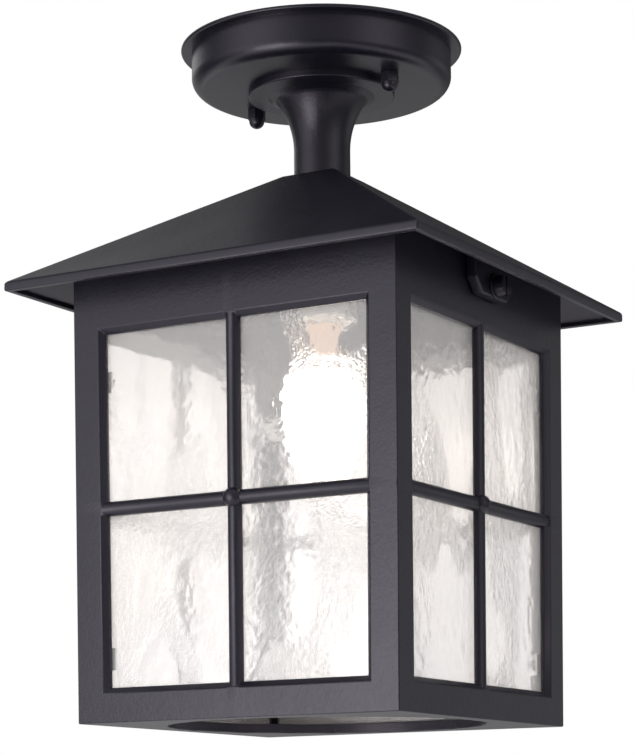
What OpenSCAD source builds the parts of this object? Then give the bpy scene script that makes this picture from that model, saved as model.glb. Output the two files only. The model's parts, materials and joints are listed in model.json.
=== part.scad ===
// Porch ceiling lantern. A hipped roof and a square glazed cage hang from a round ceiling cover
// on a short flared stem, with one candle lamp inside. Millimetres.
// z = 0 is the ceiling. Everything hangs below it. The cage is square to x and y.

/* [Ceiling cover] */
// Diameter over the rolled lip
cover_d = 122.4; // [118:0.2:128]
// Diameter of the cover's wall
cover_wall_d = 113; // [110:0.2:115]
// Depth of the cover, ceiling to underside
cover_h = 18.8; // [17:0.1:24]
// Radius of the cover's lower shoulder
shoulder_r = 5.6; // [3:0.1:7]
// Sheet thickness of the cover
cover_t = 1.2; // [1:0.1:1.6]
// Distance of each cap nut from the axis
stud_r = 39; // [36:0.5:44]
// Turn of the cap nuts' line from the cage's right face
stud_turn = -12; // [-30:1:30]

/* [Stem] */
// Length of the stem, cover to roof
stem_h = 39.3; // [34:0.1:60]
// Diameter of the stem's flange
flange_d = 63.6; // [56:0.2:70]
// Thickness of the flange
flange_t = 3; // [2:0.1:4]
// Diameter of the plain tube
tube_d = 24.4; // [22:0.2:26]
// Radius of the trumpet flare
flare_r = 38; // [30:1:45]
// Height of the trumpet flare
flare_h = 24.2; // [18:0.1:26]

/* [Roof] */
// Width over the eaves
roof_w = 194; // [184:1:210]
// Width of the flat at the top
flat_w = 25.4; // [24.8:0.2:32]
// Rise of the slopes
roof_rise = 53.1; // [46:0.1:64]
// Height of the upright edge at the eaves
fascia_h = 3.8; // [3:0.1:6]
// Wall thickness of the roof casting
roof_t = 3; // [2.5:0.1:3.5]

/* [Cage] */
// Height of the cage that shows below the eaves
cage_drop = 177.6; // [170:0.2:220]
// Width across the cage at its head
cage_head_w = 153.2; // [150.6:0.2:156]
// Width across the cage at its foot
cage_foot_w = 147.2; // [146:0.2:150]
// Wall thickness of the cage casting
wall_t = 4; // [3.5:0.1:5]
// Height of each window at the outer face
window_h = 149.8; // [120:0.2:150]
// Width of the stile beside each window
stile_w = 12.3; // [12:0.1:14]
// Height of the rail under each window
sill_h = 11.8; // [10:0.1:16]
// Size of the bevel round each window
bevel = 2.3; // [1:0.1:3]
// Width of the half-round glazing bars
bar_w = 6; // [5:0.1:8]
// Diameter of the boss where the bars cross
boss_d = 8.6; // [7:0.1:10]
// Diameter of the opening in the floor
floor_hole_d = 132; // [110:1:136]
// Thickness of the glass
glass_t = 3; // [2.5:0.1:3]

/* [Lamp] */
// Largest diameter of the lamp's glass
globe_d = 36; // [32:0.5:38]
// Radius of the curve down the sides of the lamp's glass
side_r = 62; // [58:1:80]

/* [Hidden] */
$fn = 96;

// Finishes
coat = "#2f3034";
zinc = "#b4b8bc";
brass = "#c8a24a";
copper = "#b5663a";
porcelain = "#ece8df";
clear_glass = [0.86, 0.90, 0.92, 0.45];

// Clearances
run_gap = 0.05;   // a screw or a shaft in its hole, on the radius
seat_gap = 0.2;   // parts that seat without pressing

// Heights
z_cover = -cover_h;
z_flat = z_cover - stem_h;
z_slope = z_flat - roof_rise;
z_eave = z_slope - fascia_h;
z_foot = z_eave - cage_drop;

// The slopes of the roof
pitch = roof_rise / ((roof_w - flat_w) / 2);
slope_t = roof_t / cos(atan(pitch));
function roof_top(x) = z_slope + (roof_w / 2 - x) * pitch;
function soffit(x) = roof_top(x) - slope_t;

// The cage's walls lean out a little, as a casting's draft needs
z_head = soffit(cage_head_w / 2) - seat_gap;
cage_h = z_head - z_foot;
lean = atan((cage_head_w - cage_foot_w) / 2 / cage_h);
function cage_half(h) = cage_foot_w / 2 + h * tan(lean);

// Ceiling bars
bar_t = 2;
ceiling_bar_l = 104;
ceiling_bar_w = 22;
ceiling_slot_l = 16;
ceiling_slot_r = 2.5;
ceiling_slot_span = 70;
swivel_bar_l = 2 * stud_r + 14;
swivel_bar_w = 17;
eyelet_r = 7.5;
eyelet_flange_r = 10;
eyelet_flange_t = 0.9;

// M4 hardware of the cover
m4_r = 2;
m4_hex_r = 4.04;
m4_nut_h = 3.2;
cap_nut_hex_h = 4.8;
cap_nut_h = 8.6;
cap_dome_r = 3.4;
cap_thread_h = 6;
stud_tip = z_cover - cap_thread_h + 0.5;

// M10 threaded tube and its fittings
m10_r = 5;
m10_bore_r = 4;
m10_hex_r = 8.08;
m10_nut_h = 3;
m10_washer_r = 9;
m10_washer_t = 1;
tag_t = 0.8;
z_cover_floor = z_cover + cover_t;
z_tube_top = z_cover_floor + 7;
z_roof_under = z_flat - roof_t;

// Lampholder
z_holder = z_flat - 10.9;
holder_cap_h = 20;
holder_cap_r = 14.2;
holder_wall = 1.6;
holder_body_r = 13.2;
holder_body_h = 36;
z_holder_body = z_holder - holder_cap_h + 3;
z_holder_mouth = z_holder_body - holder_body_h;
socket_r = 7.7;
socket_h = 26;
shell_t = 0.4;
z_tube_foot = z_holder - 8;
tube_lane = 2;
terminal_x = 7.8;

// Lamp, an E14 candle
lamp_cap_r = 6.95;
lamp_cap_h = 21;
z_lamp_mouth = z_holder_mouth - 1;
insulator_h = 1.6;
contact_h = 0.7;
contact_drop = socket_h - lamp_cap_h + 1 - insulator_h - contact_h - 0.1;
globe_t = 1.2;
neck_r = 6.6;
z_wide = z_holder_mouth - 34.6;
side_h = 36;
side_turn = asin(side_h / side_r);
tip_r = (globe_d / 2 - side_r) / cos(side_turn) + side_r;
z_tip = z_wide + tip_r * sin(side_turn) - side_h;

// Fixing lugs on the roof, and their screws
lug_in = cage_half(cage_h) + 0.1;
lug_out = lug_in + 5;
lug_half = 17;
lug_chamfer = 6;
lug_below = 6;
lug_screw_z = z_eave - 1;
m5_r = 2.45;
m5_head_r = 4.3;
m5_head_h = 4.3;
m5_washer_r = 5.5;
m5_shank_h = 10.7;
screw_boss_r = 5;
screw_boss_h = 2;

// Glass, and the clips in the cage's corners
pane_half = 64.4;
floor_t = 4;
pane_h = sill_h + window_h + 6 - floor_t;
clip_levels = [26, 140];
clip_wing = 7.4;
clip_h = 9;
clip_t = 1;
clip_set = 1.3;
clip_block_h = 10;
clip_seat = clip_t + 0.15;
m3_r = 1.2;
m3_head_r = 2.1;
m3_head_h = 2;
m3_length = 9;
function pane_back(h) = cage_half(h) - wall_t - glass_t;
function clip_line(h) = pane_half + pane_back(h) - clip_set;

// Terminal block and leads
block_l = 27;
block_w = 15;
block_h = 8.6;
block_y = 33;
block_pitch = 9;
lead_r = 1.1;

// ---- Shapes used by several parts ----

// A square block whose sides slope, w_low wide at z = 0 and w_high wide at z = h
module square_taper(w_low, w_high, h) {
    outline = [[-w_low / 2, 0], [w_low / 2, 0], [w_high / 2, h], [-w_high / 2, h]];
    reach = max(w_low, w_high) + 2;
    intersection() {
        rotate([90, 0, 0]) linear_extrude(reach, center = true) polygon(outline);
        rotate([90, 0, 90]) linear_extrude(reach, center = true) polygon(outline);
    }
}

// Outline of a cup standing mouth up, with a rounded lower edge, as half a section
module cup_outline(r, h, edge_r) {
    translate([0, -h]) square([r - edge_r, h]);
    translate([0, edge_r - h]) square([r, h - edge_r]);
    translate([r - edge_r, edge_r - h]) circle(edge_r);
}

// A ring with a square section, hanging from z
module ring(z, r_out, r_in, h) {
    translate([0, 0, z - h]) difference() {
        cylinder(r = r_out, h = h);
        translate([0, 0, -1]) cylinder(r = r_in, h = h + 2);
    }
}

// A plain hex nut hanging from z
module hex_nut(z, corner_r, bore_r, h) {
    translate([0, 0, z - h]) difference() {
        cylinder(r = corner_r, h = h, $fn = 6);
        translate([0, 0, -1]) cylinder(r = bore_r, h = h + 2);
    }
}

// A flat bar with round ends, its top at z
module flat_bar(z, l, w) {
    translate([0, 0, z - bar_t]) linear_extrude(bar_t) {
        square([l - w, w], center = true);
        for (side = [-1, 1]) translate([side * (l - w) / 2, 0]) circle(w / 2);
    }
}

// Children at both cap nuts; side 1 is on the right
module at_studs() {
    for (side = [1, -1]) at_stud(side) children();
}
module at_stud(side) {
    rotate([0, 0, stud_turn]) translate([side * stud_r, 0, 0]) children();
}

// The frame of wall i: x along the wall, y inward from its outer face, z up the wall from its foot.
// Wall 0 is the front, 1 the right, 2 the back and 3 the left.
module on_wall(i) {
    rotate([0, 0, 90 * i]) translate([0, -cage_foot_w / 2, z_foot]) rotate([lean, 0, 0]) children();
}

// A straight round rod from a to b
module rod(a, b, r) {
    d = b - a;
    translate(a) rotate([0, acos(d.z / norm(d)), atan2(d.y, d.x)]) cylinder(r = r, h = norm(d), $fn = 24);
}

// An insulated lead through its points, a shade fuller at each bend
module lead(points) {
    for (i = [0 : len(points) - 2]) rod(points[i], points[i + 1], lead_r);
    for (i = [1 : len(points) - 2]) translate(points[i]) rotate([50, 35, 0]) sphere(1.05 * lead_r, $fn = 24);
}

// ---- Ceiling hardware ----

// The upper bar, screwed to the ceiling through its slots, front to back
module ceiling_bar() color(zinc) rotate([0, 0, 90]) difference() {
    flat_bar(0, ceiling_bar_l, ceiling_bar_w);
    for (side = [-1, 1]) translate([side * ceiling_slot_span / 2, 0, -bar_t - 1]) linear_extrude(bar_t + 2) {
        square([ceiling_slot_l - 2 * ceiling_slot_r, 2 * ceiling_slot_r], center = true);
        for (end = [-1, 1]) translate([end * (ceiling_slot_l / 2 - ceiling_slot_r), 0]) circle(ceiling_slot_r);
    }
    translate([0, 0, -bar_t - 1]) cylinder(r = eyelet_r + run_gap, h = bar_t + 2);
    translate([0, 0, -eyelet_flange_t - 0.1]) cylinder(r = eyelet_flange_r + seat_gap, h = 2);
}

// The lower bar, which carries the cover's studs and turns to line the lantern up
module swivel_bar() color(zinc) rotate([0, 0, stud_turn]) difference() {
    flat_bar(-bar_t, swivel_bar_l, swivel_bar_w);
    translate([0, 0, -2 * bar_t - 1]) cylinder(r = eyelet_r + run_gap, h = bar_t + 2);
    for (side = [-1, 1]) translate([side * stud_r, 0, -2 * bar_t - 1]) cylinder(r = m4_r + run_gap, h = bar_t + 2);
    translate([-stud_r / 2, 0, -2 * bar_t - 1]) cylinder(r = m4_r + run_gap, h = bar_t + 2);
}

// A hollow rivet that lets the lower bar turn under the upper one
module swivel_eyelet() color(brass) rotate_extrude() {
    translate([eyelet_r - 1.2, -2 * bar_t - eyelet_flange_t]) square([1.2, 2 * bar_t + eyelet_flange_t]);
    translate([eyelet_r - 1.2, -eyelet_flange_t]) square([eyelet_flange_r - eyelet_r + 1.2, eyelet_flange_t]);
    translate([eyelet_r - 1.2, -2 * bar_t - eyelet_flange_t])
        square([eyelet_flange_r - eyelet_r + 1.2, eyelet_flange_t]);
}

module cover_studs() color(zinc) at_studs()
    translate([0, 0, stud_tip]) cylinder(r = m4_r, h = -bar_t - 0.2 - stud_tip);

module stud_nuts() color(zinc) at_studs() hex_nut(-2 * bar_t, m4_hex_r, m4_r + run_gap, m4_nut_h);

// Green earthing screw in the lower bar
module earth_screw() color("#3f7a4a") rotate([0, 0, stud_turn]) translate([-stud_r / 2, 0, 0]) difference() {
    union() {
        translate([0, 0, -2 * bar_t]) cylinder(r = m4_r, h = bar_t - 0.1);
        translate([0, 0, -2 * bar_t - 2.4]) cylinder(r = 3.8, h = 2.4);
    }
    translate([-5, -0.5, -2 * bar_t - 3.4]) cube([10, 1, 1.8]);
}

// A hex cap nut with a domed end, screwed up a stud against the cover
module cap_nut(side) color(coat) at_stud(side) difference() {
    union() {
        translate([0, 0, z_cover - cap_nut_hex_h]) cylinder(r = m4_hex_r, h = cap_nut_hex_h, $fn = 6);
        translate([0, 0, z_cover - cap_nut_h + cap_dome_r]) sphere(cap_dome_r, $fn = 48);
        translate([0, 0, z_cover - cap_nut_h + cap_dome_r]) cylinder(r = cap_dome_r, h = cap_dome_r);
    }
    translate([0, 0, z_cover - cap_thread_h]) cylinder(r = m4_r + run_gap, h = cap_thread_h + 1);
}

// ---- Cover, stem and the tube that ties them to the roof ----

module ceiling_cover() color(coat) difference() {
    rotate_extrude($fn = 180) difference() {
        union() {
            cup_outline(cover_wall_d / 2, cover_h, shoulder_r);
            translate([0, -1.8]) square([cover_d / 2 - 0.9, 1.8]);
            translate([cover_d / 2 - 0.9, -0.9]) circle(0.9);
        }
        cup_outline(cover_wall_d / 2 - cover_t, cover_h - cover_t, shoulder_r - cover_t);
        translate([0, -1]) square([cover_wall_d / 2 - cover_t, 2]);
    }
    translate([0, 0, z_cover - 1]) cylinder(r = m10_r + seat_gap, h = cover_t + 2);
    at_studs() translate([0, 0, z_cover - 1]) cylinder(r = m4_r + 0.4, h = cover_t + 2);
}

// One casting: a thin flange, a trumpet flare and a plain tube
module stem() color(coat) rotate_extrude($fn = 144) difference() {
    union() {
        translate([0, z_cover - flange_t + 0.8]) square([flange_d / 2, flange_t - 0.8]);
        translate([0, z_cover - flange_t]) square([flange_d / 2 - 0.8, flange_t]);
        translate([flange_d / 2 - 0.8, z_cover - flange_t + 0.8]) circle(0.8);
        translate([0, z_flat]) square([tube_d / 2, stem_h]);
        difference() {
            translate([0, z_cover - flange_t - flare_h])
                square([tube_d / 2 + flare_r - sqrt(flare_r * flare_r - flare_h * flare_h), flare_h]);
            translate([tube_d / 2 + flare_r, z_cover - flange_t - flare_h]) circle(flare_r, $fn = 240);
        }
    }
    translate([-1, z_flat - 1]) square([m10_r + seat_gap + 1, stem_h + 2]);
    translate([0, z_flat - 1]) square([tube_d / 2 - 3.5, stem_h - 4]);
}

module threaded_tube() color(zinc) ring(z_tube_top, m10_r, m10_bore_r, z_tube_top - z_tube_foot);

module tube_washers() color(zinc) {
    ring(z_cover_floor + m10_washer_t, m10_washer_r, m10_r + run_gap, m10_washer_t);
    ring(z_roof_under - 0.02, m10_washer_r, m10_r + run_gap, m10_washer_t);
}

module tube_nut_top() color(zinc)
    hex_nut(z_cover_floor + m10_washer_t + tag_t + m10_nut_h, m10_hex_r, m10_r + run_gap, m10_nut_h);

module tube_nut_bottom() color(zinc)
    hex_nut(z_roof_under - m10_washer_t - 0.04, m10_hex_r, m10_r + run_gap, m10_nut_h);

// A ring tag under the top nut, with the crimp that the earth lead ends in
module earth_tag() color(copper) translate([0, 0, z_cover_floor + m10_washer_t]) difference() {
    union() {
        cylinder(r = 8, h = tag_t);
        translate([0, -1.8, 0]) cube([11, 3.6, tag_t]);
        translate([10, 0, lead_r + 0.2]) rotate([0, 90, 0]) cylinder(r = lead_r + 0.6, h = 4.5);
    }
    translate([0, 0, -1]) cylinder(r = m10_r + run_gap, h = tag_t + 2);
    translate([10.8, 0, lead_r + 0.2]) rotate([0, 90, 0]) cylinder(r = lead_r + run_gap, h = 5);
}

// ---- Terminal block and leads ----

module terminal_block() color("#f1efe6") translate([0, block_y, z_cover_floor]) difference() {
    union() {
        translate([-block_l / 2, -block_w / 2, 0]) cube([block_l, block_w, 5]);
        for (way = [-1 : 1]) translate([way * block_pitch, -block_w / 2, 0]) {
            translate([-3.7, 0, 0]) cube([7.4, block_w, 6]);
            for (y = [3.8, block_w - 3.8]) translate([0, y, 0]) cylinder(r = 3.3, h = block_h);
        }
    }
    for (way = [-1 : 1]) translate([way * block_pitch, 0, 0]) {
        translate([0, -block_w, 3]) rotate([-90, 0, 0]) cylinder(r = 1.5, h = 2 * block_w);
        for (y = [-1, 1]) translate([0, y * (block_w / 2 - 3.8), 3]) cylinder(r = 1.9, h = block_h);
    }
}

module terminal_screws() color(brass) for (way = [-1 : 1], end = [-1, 1])
    translate([way * block_pitch, block_y + end * (block_w / 2 - 3.8), z_cover_floor + 4.6]) difference() {
        cylinder(r = 1.8, h = 3);
        translate([-2.5, -0.35, 2.2]) cube([5, 0.7, 1]);
    }

// A lead from the block over the top nut, down the threaded tube and out to a holder terminal
module holder_lead(way) {
    block_mouth = block_y - block_w / 2;
    over = z_tube_top + 2.6;
    lead([
        [way * block_pitch, block_mouth + 2, z_cover_floor + 3],
        [way * block_pitch, block_mouth - 4, z_cover_floor + 3.4],
        [way * block_pitch * 0.75, 16, z_cover_floor + 5.6],
        [way * tube_lane * 1.3, 9, over - 0.6],
        [way * tube_lane, 4, over],
        [way * tube_lane, 1.1, over - 1],
        [way * tube_lane, 0, over - 3.6],
        [way * tube_lane, 0, z_tube_foot - 1],
        [way * terminal_x * 0.6, 0, z_tube_foot - 3.6],
        [way * terminal_x * 0.94, 0, z_holder_body + 4],
        [way * terminal_x, 0, z_holder_body + 1.6]
    ]);
}
module live_lead() color("#7a4a2a") holder_lead(-1);
module neutral_lead() color("#3a5f9a") holder_lead(1);
module earth_lead() color("#6f8f2f") {
    block_mouth = block_y - block_w / 2;
    z_tag_lead = z_cover_floor + m10_washer_t + lead_r + 0.2;
    lead([
        [0, block_mouth + 2, z_cover_floor + 3],
        [0, block_mouth - 4, z_cover_floor + 3.4],
        [8, 15.5, z_cover_floor + 1.7],
        [17.6, 7.6, z_cover_floor + 1.9],
        [18.6, 3.2, z_tag_lead + 0.3],
        [15.6, 0, z_tag_lead],
        [11, 0, z_tag_lead]
    ]);
}

// ---- Roof ----

// A fixing lug that hangs from the slope outside the right wall
module lug() {
    top = roof_top(lug_out) - 0.2;
    foot = z_eave - lug_below;
    outline = [
        [-lug_half, top], [lug_half, top], [lug_half, foot + lug_chamfer],
        [lug_half - lug_chamfer, foot], [lug_chamfer - lug_half, foot], [-lug_half, foot + lug_chamfer]
    ];
    translate([lug_in, 0, 0]) rotate([90, 0, 90]) linear_extrude(lug_out - lug_in) polygon(outline);
}

module roof() color(coat) difference() {
    union() {
        difference() {
            union() {
                translate([0, 0, z_slope]) square_taper(roof_w, flat_w, roof_rise);
                translate([-roof_w / 2, -roof_w / 2, z_eave]) cube([roof_w, roof_w, fascia_h + 0.01]);
            }
            roof_hollow();
        }
        for (turn = [0, 180]) rotate([0, 0, turn]) lug();
    }
    translate([0, 0, z_roof_under - 1]) cylinder(r = m10_r + seat_gap, h = roof_t + 2);
    for (turn = [0, 180]) rotate([0, 0, turn]) translate([lug_in - 1, 0, lug_screw_z])
        rotate([0, 90, 0]) cylinder(r = m5_r + 0.35, h = lug_out - lug_in + 2);
}

module roof_hollow() {
    lip = roof_w / 2 - roof_t - 0.2;
    top_half = flat_w / 2 + (roof_t - slope_t) / pitch;
    translate([0, 0, soffit(lip)]) square_taper(2 * lip, 2 * top_half, z_roof_under - soffit(lip));
    translate([-lip, -lip, z_eave - 1]) cube([2 * lip, 2 * lip, soffit(lip) - z_eave + 1.01]);
}

// ---- Lampholder ----

module holder_cap() color("#3a3a3c") rotate_extrude() difference() {
    union() {
        translate([0, z_holder - 8]) square([7.6, 8]);
        translate([0, z_holder - holder_cap_h]) square([holder_cap_r, holder_cap_h - 10]);
        translate([0, z_holder - 10]) square([holder_cap_r - 4, 4]);
        translate([holder_cap_r - 4, z_holder - 10]) circle(4);
    }
    translate([-1, z_holder - holder_cap_h - 1]) square([m10_r + run_gap + 1, holder_cap_h + 2]);
    translate([0, z_holder - holder_cap_h - 1]) square([holder_cap_r - holder_wall, holder_cap_h - 8]);
}

// Porcelain body with a socket for the screw shell and two holes for the leads
module holder_body() color(porcelain) difference() {
    union() {
        translate([0, 0, z_holder_body - 4]) cylinder(r = holder_cap_r - holder_wall - 0.1, h = 4);
        translate([0, 0, z_holder_mouth]) cylinder(r = holder_body_r, h = holder_body_h - 3.2);
        translate([0, 0, z_holder_mouth]) cylinder(r = holder_body_r + 0.9, h = 3);
    }
    translate([0, 0, z_holder_mouth - 1]) cylinder(r = socket_r, h = socket_h + 1);
    for (side = [-1, 1]) translate([side * terminal_x, 0, z_holder_body - 3]) cylinder(r = 1.6, h = 4);
}

module holder_shell() color(brass) difference() {
    translate([0, 0, z_holder_mouth + 2]) cylinder(r = socket_r - run_gap, h = socket_h - 4);
    translate([0, 0, z_holder_mouth + 1]) cylinder(r = socket_r - run_gap - shell_t, h = socket_h - 2);
}

// A leaf across the socket's floor, with a button down to the lamp's centre contact
module holder_contact() color(brass) translate([0, 0, z_holder_mouth + socket_h]) {
    translate([-5, -2, -0.6]) cube([10, 4, 0.6]);
    translate([0, 0, -contact_drop]) cylinder(r = 1.8, h = contact_drop - 0.3);
}

module holder_terminals() color(brass) for (side = [-1, 1]) translate([side * terminal_x, 0, z_holder_body - 3]) {
    cylinder(r = 1.5, h = 3.2);
    translate([0, 0, 3]) difference() {
        translate([-2.2, -2.6, 0]) cube([4.4, 5.2, 1.4]);
        translate([-3, -0.4, 0.9]) cube([6, 0.8, 1]);
    }
}

// ---- Cage and glass ----

// The opening of one window in its wall's frame, with a bevel at the outer face
module window_cut() {
    half = cage_half(sill_h) - stile_w;
    side = [
        [-cage_head_w, -1], [half + 1, -1], [half - bevel, bevel],
        [half - bevel, wall_t + 1], [-cage_head_w, wall_t + 1]
    ];
    rails = [
        [-1, -1], [bevel, bevel], [wall_t + 1, bevel],
        [wall_t + 1, window_h - bevel], [bevel, window_h - bevel], [-1, window_h + 1]
    ];
    translate([0, 0, sill_h]) intersection() {
        rotate([90, 0, 90]) linear_extrude(2 * cage_head_w, center = true) polygon(rails);
        intersection_for(m = [0, 1]) mirror([m, 0, 0]) rotate([0, lean, 0])
            linear_extrude(4 * window_h, center = true) polygon(side);
    }
}

// Section of a half-round glazing bar: x across it, y inward, flat against the glass
module bar_section() {
    crown = wall_t - 0.6;
    intersection() {
        translate([0, crown]) circle(bar_w / 2, $fn = 64);
        translate([-bar_w, 0]) square([2 * bar_w, crown]);
    }
    translate([-bar_w / 2, crown]) square([bar_w, wall_t - crown]);
}

module glazing_bars() {
    mid = sill_h + window_h / 2;
    half = cage_half(mid) - stile_w;
    translate([0, 0, sill_h]) linear_extrude(window_h) bar_section();
    translate([-half, 0, mid]) rotate([0, 90, 0]) linear_extrude(2 * half) bar_section();
    intersection() {
        translate([0, boss_d / 2, mid]) sphere(boss_d / 2, $fn = 64);
        translate([-boss_d, 0, mid - boss_d]) cube([2 * boss_d, wall_t, 2 * boss_d]);
    }
}

// A block in the front right corner, cut back on the diagonal, that a glass clip screws to
module clip_block(h) {
    near = pane_half + 0.4;
    far = cage_half(h) - 1;
    face = clip_line(h) + 0.3;
    translate([0, 0, z_foot + h - clip_block_h / 2]) linear_extrude(clip_block_h)
        polygon([[near, -far], [far, -far], [far, -near], [face - near, -near], [near, near - face]]);
}

// Children at each corner and level, with x pointing out along the diagonal from the clip's face
module at_clips() {
    for (turn = [0 : 90 : 270], h = clip_levels) rotate([0, 0, turn - 45])
        translate([clip_line(h) / sqrt(2), 0, z_foot + h]) children();
}

module cage() color(coat) difference() {
    union() {
        difference() {
            translate([0, 0, z_foot]) square_taper(cage_foot_w, cage_head_w, cage_h);
            translate([0, 0, z_foot + floor_t])
                square_taper(2 * (cage_half(floor_t) - wall_t), 2 * (cage_half(cage_h + 1) - wall_t),
                             cage_h + 1 - floor_t);
            for (i = [0 : 3]) on_wall(i) window_cut();
        }
        for (i = [0 : 3]) on_wall(i) glazing_bars();
        for (turn = [0 : 90 : 270], h = clip_levels) rotate([0, 0, turn]) clip_block(h);
        for (turn = [0, 180]) rotate([0, 0, turn]) screw_boss();
    }
    translate([0, 0, z_foot - 1]) cylinder(r = floor_hole_d / 2, h = floor_t + 2, $fn = 180);
    at_clips() rotate([0, 90, 0]) cylinder(r = m3_r + run_gap, h = m3_length);
    for (turn = [0, 180]) rotate([0, 0, turn]) translate([lug_in - wall_t - screw_boss_h - 2, 0, lug_screw_z])
        rotate([0, 90, 0]) cylinder(r = m5_r + run_gap, h = wall_t + screw_boss_h + 4);
}

// A tapped boss inside the right wall, level with the lug
module screw_boss() {
    wall_in = cage_half(lug_screw_z - z_foot) - wall_t;
    translate([wall_in - screw_boss_h, 0, lug_screw_z]) rotate([0, 90, 0])
        cylinder(r = screw_boss_r, h = screw_boss_h + 1);
}

module pane(i) color(clear_glass) on_wall(i)
    translate([-pane_half, wall_t + 0.02, floor_t + 0.4]) cube([2 * pane_half, glass_t - 0.02, pane_h]);

// Spring clips in the corners, each with a wing on the back of two panes
module glass_clips() color(zinc) {
    for (turn = [0 : 90 : 270], h = clip_levels) rotate([0, 0, turn]) difference() {
        translate([0, 0, z_foot + h - clip_h / 2]) linear_extrude(clip_h) clip_section(pane_back(h - clip_h / 2));
        rotate([0, 0, -45]) translate([0, 0, z_foot + h]) rotate([0, 90, 0])
            cylinder(r = m3_r + 0.3, h = cage_head_w);
    }
}

// Plan of a clip in the front right corner, for panes whose backs are at distance back
module clip_section(back) {
    outer = back - 0.03;
    inner = outer - clip_t;
    bend = pane_half + 0.1 - clip_set;
    turn_in = clip_t * tan(22.5);
    polygon([
        [back - clip_wing, -outer], [bend, -outer], [outer, -bend], [outer, clip_wing - back],
        [inner, clip_wing - back], [inner, turn_in - bend], [bend - turn_in, -inner], [back - clip_wing, -inner]
    ]);
}

module clip_screws() color(zinc) at_clips() rotate([0, 90, 0]) difference() {
    union() {
        translate([0, 0, -clip_seat]) cylinder(r = m3_r, h = m3_length - 0.5 + clip_seat);
        translate([0, 0, -clip_seat - m3_head_h]) cylinder(r = m3_head_r, h = m3_head_h);
    }
    for (turn = [0, 90]) rotate([0, 0, turn]) translate([-1.8, -0.35, -clip_seat - m3_head_h - 1])
        cube([3.6, 0.7, 2]);
}

// ---- Lug screws ----

// A slotted screw along +x from the lug's washer into the cage's tapped boss
module lug_screw() translate([lug_out + m10_washer_t, 0, lug_screw_z]) rotate([0, 90, 0]) difference() {
    union() {
        translate([0, 0, -m5_shank_h]) cylinder(r = m5_r, h = m5_shank_h);
        cylinder(r = m5_head_r, h = m5_head_h);
    }
    translate([-m5_head_r - 1, -0.6, m5_head_h - 1.6]) cube([2 * m5_head_r + 2, 1.2, 2]);
}
module lug_screw_right() color(coat) lug_screw();
module lug_screw_left() color(coat) rotate([0, 0, 180]) lug_screw();
module lug_washers() color(coat) for (turn = [0, 180]) rotate([0, 0, turn])
    translate([lug_out, 0, lug_screw_z]) rotate([0, 90, 0]) difference() {
        cylinder(r = m5_washer_r, h = m10_washer_t);
        translate([0, 0, -1]) cylinder(r = m5_r + 0.35, h = m10_washer_t + 2);
    }

// ---- Lamp ----

module lamp_cap() color("#cfc8b4") rotate_extrude() difference() {
    translate([0, z_lamp_mouth]) square([lamp_cap_r, lamp_cap_h]);
    translate([-1, z_lamp_mouth - 1]) square([neck_r + 0.05 + 1, lamp_cap_h]);
}

module lamp_insulator() color("#1b1b1e")
    translate([0, 0, z_lamp_mouth + lamp_cap_h]) cylinder(r1 = 5.2, r2 = 3, h = insulator_h);

module lamp_contact() color(zinc)
    translate([0, 0, z_lamp_mouth + lamp_cap_h + insulator_h]) cylinder(r1 = 2, r2 = 1.4, h = contact_h);

// Opal glass: a neck in the cap, a round shoulder, and sides that curve in to a round tip
module lamp_globe() color([1, 0.97, 0.88]) rotate_extrude() difference() {
    globe_outline(0);
    globe_outline(globe_t);
}

// Half the glass's section, drawn in by inset
module globe_outline(inset) {
    z_neck = z_wide + sqrt(globe_d * globe_d / 4 - neck_r * neck_r);
    intersection() {
        translate([0, z_wide]) circle(globe_d / 2 - inset);
        translate([0, z_wide]) square([globe_d, z_neck - z_wide]);
    }
    translate([0, z_neck - 2]) square([neck_r - inset, z_lamp_mouth + 18 - z_neck + 2 + inset]);
    intersection() {
        translate([globe_d / 2 - side_r, z_wide]) circle(side_r - inset, $fn = 240);
        translate([0, z_wide - side_h]) square([globe_d, side_h]);
    }
    intersection() {
        translate([0, z_tip]) circle(tip_r + 0.03 - inset);
        translate([0, z_tip - globe_d]) square(2 * globe_d);
    }
}

ceiling_bar();
swivel_bar();
swivel_eyelet();
cover_studs();
stud_nuts();
earth_screw();
cap_nut(1);  // cap_nut_right
cap_nut(-1);  // cap_nut_left
ceiling_cover();
stem();
threaded_tube();
tube_washers();
tube_nut_top();
tube_nut_bottom();
earth_tag();
terminal_block();
terminal_screws();
live_lead();
neutral_lead();
earth_lead();
roof();
holder_cap();
holder_body();
holder_shell();
holder_contact();
holder_terminals();
cage();
pane(0);  // glass_front
pane(1);  // glass_right
pane(2);  // glass_back
pane(3);  // glass_left
glass_clips();
clip_screws();
lug_screw_right();
lug_screw_left();
lug_washers();
lamp_cap();
lamp_insulator();
lamp_contact();
lamp_globe();
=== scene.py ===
import bpy
import bmesh
import json
import math
from mathutils import Matrix, Vector


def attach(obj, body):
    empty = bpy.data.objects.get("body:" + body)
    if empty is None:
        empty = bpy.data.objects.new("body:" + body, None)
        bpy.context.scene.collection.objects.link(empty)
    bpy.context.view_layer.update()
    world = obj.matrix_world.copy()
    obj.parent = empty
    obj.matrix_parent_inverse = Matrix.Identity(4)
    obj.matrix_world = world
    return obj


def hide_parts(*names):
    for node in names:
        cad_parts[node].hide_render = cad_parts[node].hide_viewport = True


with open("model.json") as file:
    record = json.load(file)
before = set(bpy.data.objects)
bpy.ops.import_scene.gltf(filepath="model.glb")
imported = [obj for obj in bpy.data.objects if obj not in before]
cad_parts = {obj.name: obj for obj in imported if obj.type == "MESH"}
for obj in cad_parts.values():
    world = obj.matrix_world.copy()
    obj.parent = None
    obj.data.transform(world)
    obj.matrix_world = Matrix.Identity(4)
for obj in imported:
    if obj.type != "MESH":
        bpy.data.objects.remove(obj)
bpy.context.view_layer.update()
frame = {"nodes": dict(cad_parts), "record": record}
nodes = frame["nodes"]
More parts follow.
